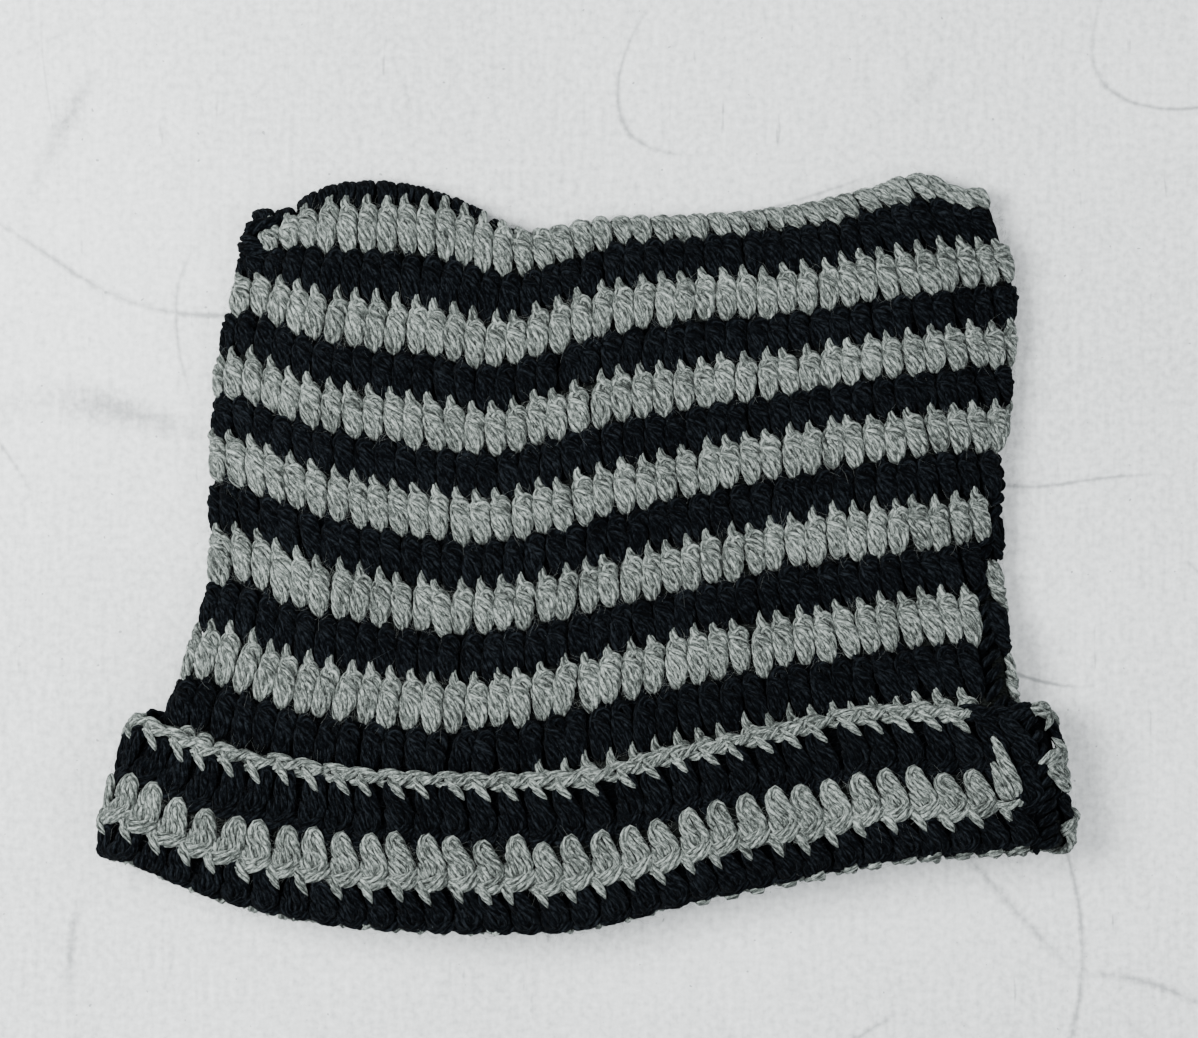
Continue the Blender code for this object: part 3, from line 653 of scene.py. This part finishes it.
def lay_cuff_row(yarn, row, centres, share, samples, sides):
    inside, colour = row in INSIDE_ROWS, colour_of(row)
    tall = INSIDE_TALL + INSIDE_TALLER * ease((share - PEEK_FROM) / PEEK_OVER) if inside else 1.0
    tall = tall * BLACK_CUFF_TALL if colour == "black" else tall
    lean = 0.0 if inside else mix(CUFF_LEAN_LEFT, CUFF_LEAN, ease(share / CUFF_LEAN_OVER))
    lay_stitches(yarn, cuff_stitch(colour), centres, up_from(row, -1), -1, samples, sides, CUFF_WIDTH, lean,
                 tall)


def lay_body_row(yarn, row, centres, share, samples, sides):
    lean = (CROWN_LEAN if row == 1 else BODY_LEAN) + RIGHT_LEAN * ease((share - RIGHT_FROM) / RIGHT_OVER)
    strands = BODY_STITCH
    if colour_of(row) == "black":
        strands = laid_low(strands, BODY_SPIKE, BLACK_SPIKE_LOWERED)
    if row == BARE_ROW:
        bare = share < BARE_SHARE
        lay_stitches(yarn, strands[:BODY_SPIKE], centres[bare], up_from(row, 1), 1, samples, sides,
                     lean=lean[bare])
        centres, lean = centres[~bare], lean[~bare]
    lay_stitches(yarn, strands, centres, up_from(row, 1), 1, samples, sides, lean=lean)


def lay_row(yarn, row, wrong_side, samples, sides):
    """A row's stitches, on one side of the fabric, with what closes its ends."""
    start, end = row_ends(row + 0.5)
    if row == 1:
        start += TAPER
    centres = centres_between(start, end, CUFF_STITCH if wrong_side else STITCH, ROW_SHIFT * row)
    if row == FOLD_ROW + 1:
        centres = centres[centres < end - END_STITCH_ROOM]
        last = centres[-1:] + END_STITCH_BEYOND
        lay_stitches(yarn, END_STITCH, last, up_from(row, -1), -1, samples, sides)
    lay = lay_cuff_row if wrong_side else lay_body_row
    lay(yarn, row, centres, share_across(centres), samples, sides)
    if row == FOLD_ROW + 2:
        last = np.array([row_ends(row - 0.5)[1] - CORNER_STITCH_IN])
        lay_stitches(yarn, cuff_stitch("black"), last, up_from(row - 1, -1), -1, samples, sides)
    if row == 0:
        for strand in CORNER_WRAPS:
            lay_stitches(yarn, (strand,), np.zeros(1), up_from(1, 1), 1, WRAP_SAMPLES, sides)


def lay_chain(yarn, front, colour, samples, sides):
    """The chain along a free edge. On the front its last stitches, towards the right, are black."""
    row = HEM_ROW - 0.5 if front else BACK_HEM_ROW + 0.5
    start, end = row_ends(row)
    centres = centres_between(start, end, CUFF_STITCH, CUFF_CHAIN_SHIFT)
    dark = (centres > end - BLACK_CORNER) & front
    centres = centres[dark if colour == "black" else ~dark]
    foot = cuff_line(HEM_ROW - 1)

    def to_row(y):
        line = row_at_height(foot + y)
        return line if front else back_row(share_across(centres)[:, None], line)

    lay_stitches(yarn, CHAIN_STRANDS, centres, to_row, -1, samples, sides, CUFF_WIDTH)


def lay_seam(yarn, left, start_row):
    """Stitches that draw a side seam together, down to the hem."""
    rows = np.arange(start_row + SEAM_START, HEM_ROW, SEAM_PITCH)
    past = (past_left if left else past_right)(rows) * MM + SEAM / 2
    centres = -past if left else LOOP + past
    path = smooth_path(SEAM_STRAND, SEAM_SAMPLES)
    x, y, out, share = (path[None, :, c] for c in range(4))
    lean = rng.normal(1, SEAM_LEAN_SPREAD, (len(rows), 1))
    sign = np.where(rows > FOLD_ROW, -1.0, 1.0)[:, None]
    at_row = rows[:, None] - y * lean / ROW_MM * sign
    points, _ = place(centres[:, None] + x * MM, at_row, sign * (out - SINK + SEAM_OUT) * MM)
    yarn.sweep(points, share * YARN_R * MM * np.ones_like(at_row), COARSE_SIDES)


# ---- materials

def new_material(name):
    material = bpy.data.materials.new(name)
    material.use_nodes = True
    tree = material.node_tree
    return material, tree, tree.nodes["Principled BSDF"]


def node(tree, kind, sockets=(), **settings):
    """A new node with these settings. sockets pairs an input's name or number with a value or an output."""
    made = tree.nodes.new(kind)
    for key, value in settings.items():
        setattr(made, key, value)
    for key, value in sockets:
        if isinstance(value, bpy.types.NodeSocket):
            tree.links.new(value, made.inputs[key])
        else:
            made.inputs[key].default_value = value
    return made


def math_node(tree, operation, *values):
    return node(tree, "ShaderNodeMath", enumerate(values), operation=operation).outputs[0]


def noise_node(tree, vector, scale, detail, roughness):
    sockets = (("Vector", vector), ("Scale", scale), ("Detail", detail), ("Roughness", roughness))
    return node(tree, "ShaderNodeTexNoise", sockets).outputs[0]


def add_bump(tree, shader, height, strength, distance):
    sockets = (("Strength", strength), ("Distance", distance), ("Height", height))
    tree.links.new(node(tree, "ShaderNodeBump", sockets).outputs[0], shader.inputs["Normal"])


def ramp(tree, factor, stops):
    made = node(tree, "ShaderNodeValToRGB")
    elements = made.color_ramp.elements
    while len(elements) < len(stops):
        elements.new(0.5)
    for element, (position, colour) in zip(elements, stops):
        element.position, element.color = position, colour
    tree.links.new(factor, made.inputs[0])
    return made.outputs[0]


def yarn_material(name, colours, sheen, gloss):
    """Soft acrylic yarn: fibres run nearly along the plies, whose crests carry painted highlight and whose
    grooves painted shade, and strands differ.
    """
    material, tree, shader = new_material(name)
    uv = node(tree, "ShaderNodeUVMap", uv_map="strand").outputs[0]
    around, along, _ = node(tree, "ShaderNodeSeparateXYZ", ((0, uv),)).outputs
    tone = node(tree, "ShaderNodeAttribute", attribute_name="tone").outputs["Fac"]
    crest = node(tree, "ShaderNodeAttribute", attribute_name="crest").outputs["Fac"]
    coords = node(tree, "ShaderNodeTexCoord").outputs["Object"]
    untwisted = math_node(tree, "MULTIPLY_ADD", along, FIBRE_SLANT / TWIST_LENGTH, around)
    scaled = ((untwisted, FIBRES_AROUND), (along, FIBRES_ALONG), (tone, FIBRES_APART))
    fibre_space = [math_node(tree, "MULTIPLY", value, scale) for value, scale in scaled]
    fibre_at = node(tree, "ShaderNodeCombineXYZ", enumerate(fibre_space)).outputs[0]
    fibre = noise_node(tree, fibre_at, 1.0, 4.0, 0.72)
    cloud = noise_node(tree, coords, 55.0, 3.0, 0.6)
    fluff = noise_node(tree, coords, 1500.0, 3.0, 0.7)
    value = math_node(tree, "MULTIPLY_ADD", fibre, FIBRE_WEIGHT, DARKER)
    # crest adds painted highlight on the plies' crests and painted shade in their grooves
    for output, weight in ((crest, 0.26), (tone, 0.02), (cloud, 0.2), (fluff, 0.55)):
        value = math_node(tree, "ADD", value, math_node(tree, "MULTIPLY", output, weight))
    stops = list(zip(GROOVE_TO_CREST, colours))
    tree.links.new(ramp(tree, value, stops), shader.inputs["Base Color"])
    shader.inputs["Roughness"].default_value = 0.95
    shader.inputs["Specular IOR Level"].default_value = gloss
    shader.inputs["Sheen Weight"].default_value = sheen
    shader.inputs["Sheen Roughness"].default_value = 0.5
    add_bump(tree, shader, fibre, 1.0, FIBRE_BUMP)
    return material


def table_material():
    """Worn white laminate: cloudy, finely streaked, with long curved scratches, scuffs and dark specks."""
    material, tree, shader = new_material("table_laminate")
    coords = node(tree, "ShaderNodeTexCoord").outputs["Object"]

    def noise(scale, detail, stretch=(1, 1, 1), turn=0.0):
        sockets = (("Vector", coords), ("Rotation", (0, 0, turn)), ("Scale", stretch))
        return noise_node(tree, node(tree, "ShaderNodeMapping", sockets).outputs[0], scale, detail, 0.5)

    def times(value, factor):
        return math_node(tree, "MULTIPLY", value, factor)

    scratches = None
    for scale, turn, where in SCRATCHES:
        contour = math_node(tree, "ABSOLUTE", math_node(tree, "SUBTRACT", noise(scale, 0.0, turn=turn), 0.5))
        line = ramp(tree, contour, ((0.001, MARK), (0.004, NO_MARK)))
        line = times(line, ramp(tree, noise(where, 1.0), ((0.5, NO_MARK), (0.66, MARK))))
        scratches = line if scratches is None else math_node(tree, "MAXIMUM", scratches, line)
    scuffs = ramp(tree, noise(1.0, 2.0, (260.0, 45.0, 1)), ((0.70, NO_MARK), (0.78, MARK)))
    specks = ramp(tree, noise(420.0, 1.0), ((0.76, NO_MARK), (0.80, MARK)))
    clouds, streaks, grain = noise(5.0, 4.0), noise(1.0, 3.0, (500.0, 60.0, 1)), noise(450.0, 3.0)
    value = times(clouds, 0.45)
    marks = ((scratches, -0.5), (scuffs, -0.3), (specks, -0.45))
    for output, weight in ((streaks, 0.3), (grain, 0.65)) + marks:
        value = math_node(tree, "ADD", value, times(output, weight))
    tree.links.new(ramp(tree, value, TABLE_TONES), shader.inputs["Base Color"])
    shader.inputs["Roughness"].default_value = 0.4
    add_bump(tree, shader, value, 0.3, TABLE_BUMP)
    return material


yarns = {"grey": yarn_material("grey_yarn", GREYS, 0.05, 0.1),
         "black": yarn_material("black_yarn", BLACKS, 0.007, 0.02)}
# The black fibres' lighter colours are painted sheen
hair = {"grey": yarn_material("grey_fibre", GREY_HAIRS, 0.1, 0.2),
        "black": yarn_material("black_fibre", BLACK_HAIRS_PAINTED_SHEEN, 0.03, 0.1)}
# The grey rows' panel: grey yarn darkened as painted shade between the stitches
shaded_core_grey = yarn_material("grey_core_painted_shade", SHADED_CORE_GREYS, 0.0, 0.0)


# ---- the fabric between the stitches

def fabric_core():
    """The one panel, thin and closed, that the stitches stand on: each row has its own colour, the black
    yarn on the black rows and a grey darkened as painted shade on the grey rows.
    """
    columns = CORE_COLUMNS
    rows = np.linspace(BACK_HEM_ROW + 1, HEM_ROW - 1, (HEM_ROW - BACK_HEM_ROW - 2) * CORE_STEPS + 1)
    ends = np.array([row_ends(row) for row in rows]) + np.array((-CORE_INTO_SEAM, CORE_INTO_SEAM))
    at = np.linspace(0, 1, columns)
    length = ends[:, :1] + (ends[:, 1:] - ends[:, :1]) * at
    grid = np.broadcast_to(rows[:, None], length.shape)
    ripple = CORE_RIPPLE * np.cos(2 * math.pi * (length / (STITCH * MM) - grid * ROW_SHIFT))
    turned = ease(np.where(grid > 0, grid, front_row(share_across(length), grid)) - FOLD_ROW + 0.5)
    sunk = -CORE_SUNK * (1 - 2 * turned)
    layers = [place(length, grid, (sunk + out + ripple) * MM)[0].reshape(-1, 3) for out in (CORE, -CORE)]
    points = np.concatenate(layers)
    points[:, 2] = np.maximum(points[:, 2], LOWEST)
    i, j = np.meshgrid(np.arange(len(rows) - 1), np.arange(columns - 1), indexing="ij")
    corner = (i * columns + j).ravel()
    top = np.stack([corner, corner + columns, corner + columns + 1, corner + 1], -1)
    under = top[:, ::-1] + len(layers[0])
    rim = np.concatenate([np.arange(columns), np.arange(1, len(rows)) * columns + columns - 1,
                          (len(rows) - 1) * columns + np.arange(columns - 2, -1, -1),
                          np.arange(len(rows) - 2, 0, -1) * columns])
    after = np.roll(rim, -1)
    edge = np.stack([rim, after, after + len(layers[0]), rim + len(layers[0])], -1)
    mesh = bpy.data.meshes.new("fabric_core")
    mesh.from_pydata(points.tolist(), [], np.concatenate([top, under, edge]).tolist())
    odd = (np.floor(rows[i.ravel()] + 0.5 / CORE_STEPS).astype(int) % 2 != 0).astype(np.int32)
    rim_row = np.floor(rows[rim // columns] + 0.01).astype(int) % 2
    mesh.polygons.foreach_set("material_index", np.concatenate([odd, odd, rim_row]).astype(np.int32))
    mesh.polygons.foreach_set("use_smooth", np.ones(len(mesh.polygons), bool))
    uv = mesh.uv_layers.new(name="strand")
    corners = np.empty(len(mesh.loops), np.int32)
    mesh.loops.foreach_get("vertex_index", corners)
    flat = np.stack([np.tile(grid.ravel(), 2) * 2.0, np.tile(length.ravel(), 2) / MM], -1)
    uv.data.foreach_set("uv", flat[corners].astype(np.float32).ravel())
    mesh.update()
    core = bpy.data.objects.new("fabric_core", mesh)
    core.data.materials.append(yarns["black"])
    # second material, for the grey rows: painted shade
    core.data.materials.append(shaded_core_grey)
    bpy.context.scene.collection.objects.link(core)
    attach(core, "root")
    return core


# ---- loose fibres

def fuzz(name, odd, material):
    """Fine fibres standing off the yarn of the odd or the even rows, as closed three-sided hairs."""
    rows = rng.integers(0, HEM_ROW // 2 - odd, HAIRS) * 2 + odd
    rows = np.where(rng.random(HAIRS) < HAIR_BACK_SHARE, rows + BACK_HEM_ROW + 1, rows)
    rows = rows + rng.uniform(0.0, 1.0, HAIRS)
    ends = np.array([row_ends(row) for row in rows])
    inset = np.where((abs(rows - 1) < 1) | (abs(rows - FOLD_ROW - 1.5) < 0.5), BLACK_END_INSET, HAIR_INSET)
    length = ends[:, 0] + inset + (ends[:, 1] - ends[:, 0] - 2 * inset) * rng.random(HAIRS)
    out_sign = np.where((rows > FOLD_ROW) | (rows < BACK_FOLD_ROW + 0.5), -1.0, 1.0)
    base, normals = place(length, rows, out_sign * rng.uniform(HAIR_LOW, HAIR_HIGH, HAIRS) * MM)
    normals = normals * out_sign[:, None]
    side = np.cross(normals, rng.normal(0, 1, (HAIRS, 3)))
    side /= np.linalg.norm(side, axis=-1, keepdims=True)
    other = np.cross(normals, side)
    reach = rng.gamma(HAIR_SHAPE, HAIR_SCALE, HAIRS)[:, None, None] * MM + HAIR_REACH * MM
    t = np.linspace(0, 1, HAIR_SAMPLES)[None, :, None]
    rise, curl = rng.uniform(*HAIR_RISE, (HAIRS, 1, 1)), rng.normal(0, HAIR_CURL, (HAIRS, 1, 1))
    droop = rng.uniform(*HAIR_DROOP, (HAIRS, 1, 1))
    paths = base[:, None] + reach * (side[:, None] * t + other[:, None] * curl * t * t
                                     + normals[:, None] * rise * (t - droop * t * t))
    hairs = Yarn()
    hairs.sweep(paths, (HAIR_R - HAIR_TAPER * t[..., 0]) * MM * np.ones((HAIRS, HAIR_SAMPLES)), HAIR_SIDES)
    return hairs.piece(name, material)


# ---- build

def detail_of(row):
    """Samples and sides of a row's strands: fewer where little of the yarn shows."""
    if row >= FOLD_ROW:
        return CUFF_DETAIL
    if row >= 0:
        return COVERED_DETAIL if row in INSIDE_ROWS else BODY_DETAIL
    if row <= BACK_FOLD_ROW:
        return BACK_CUFF_DETAIL
    return BACK_CROWN_DETAIL if row > -3 else BACK_DETAIL


def lay_all(yarn, row):
    """Everything that belongs to one CAD row."""
    if row in (BACK_HEM_ROW, HEM_ROW - 1):
        front = row > 0
        lay_chain(yarn, front, "grey", *(CHAIN_DETAIL if front else BACK_CHAIN_DETAIL))
    else:
        lay_row(yarn, row, row >= FOLD_ROW or row <= BACK_FOLD_ROW, *detail_of(row))
    if row in INSIDE_ROWS:
        lay_row(yarn, row, True, *INSIDE_DETAIL)
    if row == HEM_ROW - 2:
        lay_chain(yarn, True, "black", *CHAIN_DETAIL)


core = fabric_core()
for row in range(BACK_HEM_ROW, HEM_ROW):
    yarn = Yarn()
    lay_all(yarn, row)
    name, colour = node_of(row), colour_of(row)
    piece_name = name.replace("_row_", "_stitches_").replace("chain", "chain_stitches")
    piece = yarn.piece(piece_name, yarns[colour])
    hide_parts(name)
for name, left, start_row in (("left_side_seam", True, SEAM_FROM_LEFT),
                              ("right_side_seam", False, SEAM_FROM_RIGHT)):
    yarn = Yarn()
    lay_seam(yarn, left, start_row)
    piece = yarn.piece(name + "_whip_stitches", yarns["black"])
    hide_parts(name)
for colour, odd in (("grey", 1), ("black", 0)):
    for batch in ("a", "b"):
        piece = fuzz(f"{colour}_loose_fibres_{batch}", odd, hair[colour])


# ---- table, light and camera

TABLE_HALF = 3.0  # half the width of the table
floor_mesh = bpy.data.meshes.new("table")
floor_corners = [(x * TABLE_HALF, y * TABLE_HALF, 0) for x, y in ((-1, -1), (1, -1), (1, 1), (-1, 1))]
floor_mesh.from_pydata(floor_corners, [], [(0, 1, 2, 3)])
floor = bpy.data.objects.new("table", floor_mesh)
floor.data.materials.append(table_material())
bpy.context.scene.collection.objects.link(floor)


def area_light(name, place_at, aim, size, power, colour):
    data = bpy.data.lights.new(name, "AREA")
    data.shape, data.size, data.energy, data.color = "SQUARE", size, power, colour
    light = bpy.data.objects.new(name, data)
    light.location = place_at
    light.rotation_euler = (Vector(aim) - Vector(place_at)).to_track_quat("-Z", "Y").to_euler()
    bpy.context.scene.collection.objects.link(light)


area_light("soft_overhead", (-0.66, 0.14, 0.95), (-0.08, 0, 0), 0.6, 29.5, (0.985, 1.0, 0.995))
area_light("soft_fill", (0.8, -0.1, 1.0), (0.15, 0, 0), 0.8, 9.5, (0.98, 0.99, 1.0))
ROOM_COLOUR, ROOM_LIGHT = (0.93, 0.965, 1.0, 1), 0.7
world = bpy.context.scene.world or bpy.data.worlds.new("room")
bpy.context.scene.world = world
world.use_nodes = True
background = world.node_tree.nodes["Background"]
background.inputs["Color"].default_value = ROOM_COLOUR
background.inputs["Strength"].default_value = ROOM_LIGHT

VIEW_WIDTH = 0.3894  # m that the camera sees from left to right, at the height of VIEW_AT
VIEW_AT = (0.0043, 0.0118, 0.020)
CAMERA_AWAY = 1.4
SENSOR = 36  # mm
camera_data = bpy.data.cameras.new("camera")
camera_data.sensor_width = SENSOR
camera_data.lens = SENSOR * CAMERA_AWAY / VIEW_WIDTH
camera = bpy.data.objects.new("camera", camera_data)
camera.location = (VIEW_AT[0], VIEW_AT[1], VIEW_AT[2] + CAMERA_AWAY)
bpy.context.scene.collection.objects.link(camera)
bpy.context.scene.camera = camera

bpy.context.view_layer.update()
